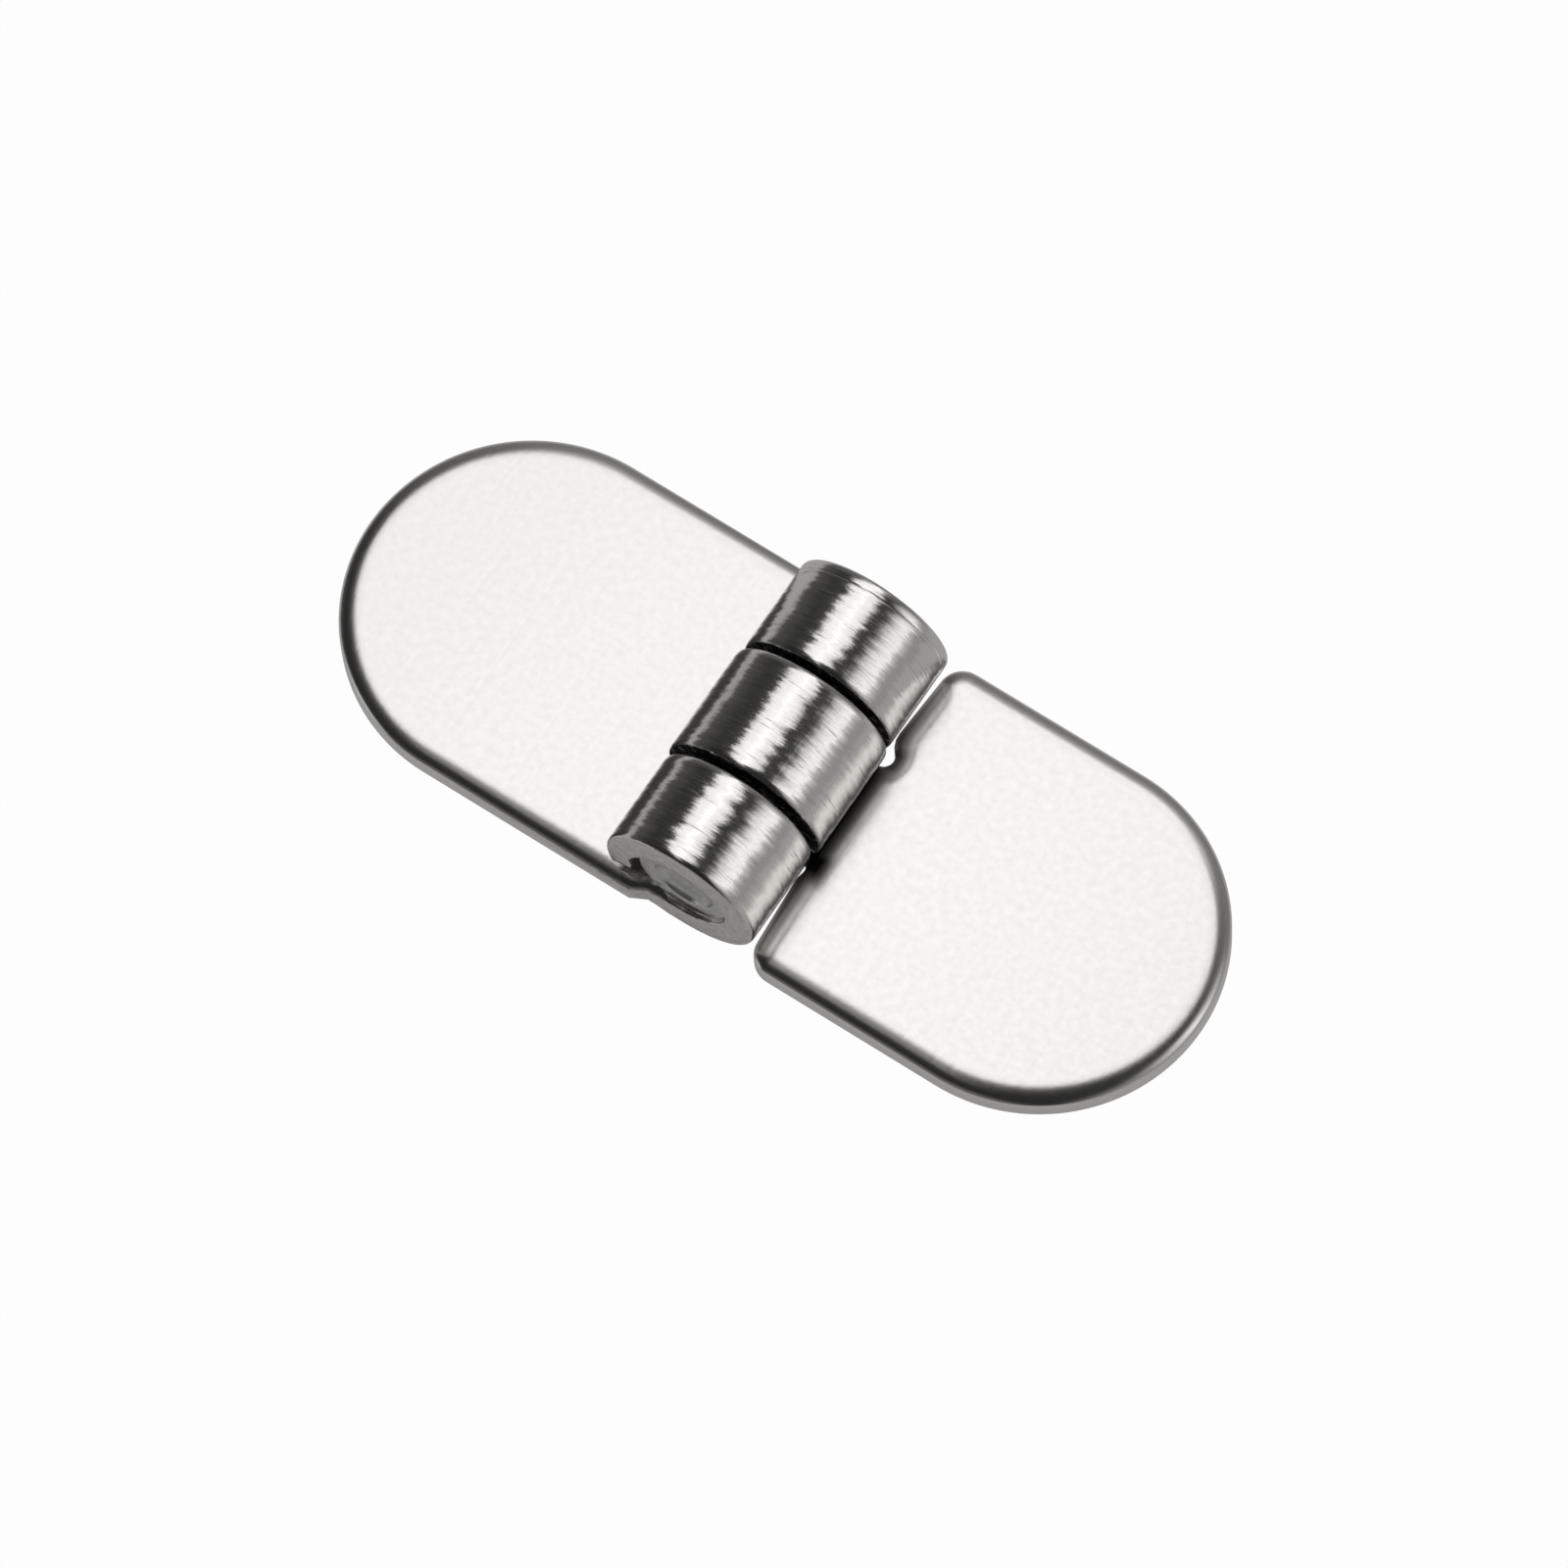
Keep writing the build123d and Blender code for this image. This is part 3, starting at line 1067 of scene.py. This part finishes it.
@dataclass(frozen=True)
class Softbox:
    """A soft rectangular lamp aimed at the hinge.

    Attributes:
        name: name of the lamp.
        about: its direction about the pin, in degrees from +X over the top.
        along: its direction towards +Y, in degrees.
        size: its sides, in metres.
        radiance: brightness of its face, where 1 is white.
        distance: metres from the hinge.
    """

    name: str
    about: float
    along: float
    size: tuple[float, float]
    radiance: float
    distance: float = 0.6

    def place(self) -> bpy.types.Object:
        """Adds the lamp to the scene and returns it."""
        lamp = bpy.data.lights.new(self.name, "AREA")
        lamp.shape = "RECTANGLE"
        lamp.size, lamp.size_y = self.size
        lamp.energy = self.radiance * math.pi * self.size[0] * self.size[1]
        away = from_pin(self.about, self.along)
        turned = away.to_track_quat("Z", "Y").to_matrix().to_4x4()
        holder = bpy.data.objects.new(self.name, lamp)
        holder.matrix_world = Matrix.Translation(away * self.distance) @ turned
        bpy.context.scene.collection.objects.link(holder)
        return holder


@dataclass(frozen=True)
class Wall:
    """A pale wall of the room, which fades in towards one direction.

    Attributes:
        way: direction of the wall.
        starts: cosine of the angle to it at which it starts to show.
        full: cosine from which it shows fully.
        radiance: brightness of the wall, where 1 is white.
    """

    way: tuple[float, float, float]
    starts: float
    full: float
    radiance: float


@dataclass
class Studio:
    """Pale floor, soft lamps and a dim room that is darkest behind the camera.

    Attributes:
        softboxes: the lamps.
        walls: what shows of the room's walls.
        room: brightness of the rest of the room.
        floor_size: side of the floor, in metres.
        floor_drop: how far it lies under the hinge, which swings below its own underside.
        floor_color: grey of the floor.
        white_share: how much of the floor's white is its own colour, seen by the camera.
        mirrored_share: the same as seen in metal.
    """

    softboxes: tuple[Softbox, ...] = (
        Softbox("top_softbox", 103, 18, (0.40, 0.30), 1.04),
        Softbox("right_softbox", 39, 14, (0.10, 0.32), 0.5),
        Softbox("back_panel_low", 103, 35.2, (0.40, 0.068), 0.5),
        Softbox("back_panel_mid", 103, 41.7, (0.40, 0.068), 0.22),
        Softbox("back_panel_high", 103, 49, (0.40, 0.085), 0.09),
        Softbox("front_panel_low", 103, 0.8, (0.40, 0.066), 0.34),
        Softbox("front_panel_high", 103, -5.5, (0.40, 0.066), 0.1),
    )
    walls: tuple[Wall, ...] = (
        Wall(tuple(from_pin(37, 14)), 0.9, 0.998, 0.5),
        Wall((-0.75, -0.66, 0.04), 0.94, 0.995, 0.7),
        Wall((0, -0.99, 0.14), 0.85, 0.97, 0.11),
        Wall((0, 1, 0), 0.25, 0.8, 0.17),
        Wall((1, 0, 0), 0.6, 0.95, 0.26),
        Wall((-1, 0, 0), 0.85, 1.0, 0.05),
    )
    room: float = 0.02
    floor_size: float = 2.4
    floor_drop: float = 0.025
    floor_color: float = 0.8
    white_share: float = 0.98
    mirrored_share: float = 0.24

    def build(self) -> None:
        """Sets up the floor, the lamps and the room."""
        bm = bmesh.new()
        bmesh.ops.create_grid(bm, x_segments=1, y_segments=1, size=self.floor_size / 2)
        bmesh.ops.translate(bm, verts=bm.verts[:], vec=(0, 0, -self.floor_drop))
        mesh = bpy.data.meshes.new("floor")
        bm.to_mesh(mesh)
        bm.free()
        floor = bpy.data.objects.new("floor", mesh)
        bpy.context.scene.collection.objects.link(floor)
        floor.data.materials.append(self._floor_material())
        for softbox in self.softboxes:
            softbox.place()
        bpy.context.scene.world = self._room()

    def _room(self) -> bpy.types.World:
        """The room that the metal mirrors; the camera sees a white backdrop in its place."""
        world = bpy.data.worlds.new("room")
        world.use_nodes = True
        wiring = Wiring(world.node_tree)
        way = wiring.add("ShaderNodeTexCoord").outputs["Generated"]
        total = None
        for wall in self.walls:
            facing = wiring.add(
                "ShaderNodeVectorMath", {0: way, 1: wall.way}, operation="DOT_PRODUCT"
            ).outputs["Value"]
            low = self.room if total is None else 0.0
            share = wiring.stretch(facing, wall.starts, wall.full, low, wall.radiance)
            total = share if total is None else wiring.math("ADD", total, share)
        seen = wiring.add("ShaderNodeLightPath").outputs["Is Camera Ray"]
        shown = wiring.math("MAXIMUM", seen, total)
        backdrop = world.node_tree.nodes["Background"]
        world.node_tree.links.new(shown, backdrop.inputs["Color"])
        return world

    def _floor_material(self) -> bpy.types.Material:
        """Pale floor that the camera and the metal see as white, with the hinge's shadow."""
        made = bpy.data.materials.new("pale_floor")
        made.use_nodes = True
        made.node_tree.nodes.clear()
        wiring = Wiring(made.node_tree)
        rays = wiring.add("ShaderNodeLightPath").outputs
        mirrored = wiring.math("ADD", rays["Is Glossy Ray"], rays["Is Transmission Ray"])
        share = wiring.math(
            "MULTIPLY_ADD", rays["Is Camera Ray"], self.white_share,
            wiring.math("MULTIPLY", mirrored, self.mirrored_share),
        )
        matt = wiring.add("ShaderNodeBsdfDiffuse", {"Color": (*[self.floor_color] * 3, 1)})
        white = wiring.add("ShaderNodeEmission", {"Color": (1, 1, 1, 1), "Strength": 1.0})
        mixed = wiring.add(
            "ShaderNodeMixShader", {0: share, 1: matt.outputs[0], 2: white.outputs[0]}
        )
        wiring.add("ShaderNodeOutputMaterial", {"Surface": mixed.outputs[0]})
        return made


@dataclass(frozen=True)
class PhotoCamera:
    """Camera at the photograph's viewing angle.

    Attributes:
        place: where it stands, in metres.
        right: its own X axis.
        up: its own Y axis.
        back: its own Z axis.
        lens: focal length, in millimetres.
        sensor: width of its sensor, in millimetres.
    """

    place: tuple[float, float, float] = (0.16681518, -0.20906581, 0.68923443)
    right: tuple[float, float, float] = (0.83252441, 0.55296052, -0.03373099)
    up: tuple[float, float, float] = (-0.50604374, 0.78384055, 0.35988016)
    back: tuple[float, float, float] = (0.22543923, -0.28253966, 0.9323886)
    lens: float = 294.1639
    sensor: float = 36.0

    def build(self) -> bpy.types.Object:
        """Puts the camera in the scene and returns it."""
        data = bpy.data.cameras.new("photo_camera")
        data.lens, data.sensor_width, data.clip_start = self.lens, self.sensor, 0.01
        camera = bpy.data.objects.new("photo_camera", data)
        axes = Matrix((self.right, self.up, self.back)).transposed().to_4x4()
        camera.matrix_world = Matrix.Translation(self.place) @ axes
        bpy.context.scene.collection.objects.link(camera)
        bpy.context.scene.camera = camera
        return camera


def main() -> None:
    """Builds the hinge, the studio and the camera."""
    logging.basicConfig(level=logging.INFO, format="%(name)s: %(message)s")
    bpy.context.scene.view_settings.view_transform = "Standard"
    PhotoCamera().build()
    Studio().build()
    effects = EffectGroups()
    leaf_steel = TUMBLED_LEAF.material(effects)
    pin_steel = PUNCHED_PIN.material(effects)
    fixed = FixedLeaf("fixed_leaf_curled", "two_knuckle_leaf", Body.FIXED)
    swing = SwingLeaf("swing_leaf_curled", "single_knuckle_leaf", Body.SWING, turned_over=True)
    for maker, finish in ((fixed, leaf_steel), (swing, leaf_steel), (HingePin(), pin_steel)):
        maker.build().data.materials.append(finish)


if __name__ == "__main__":
    main()
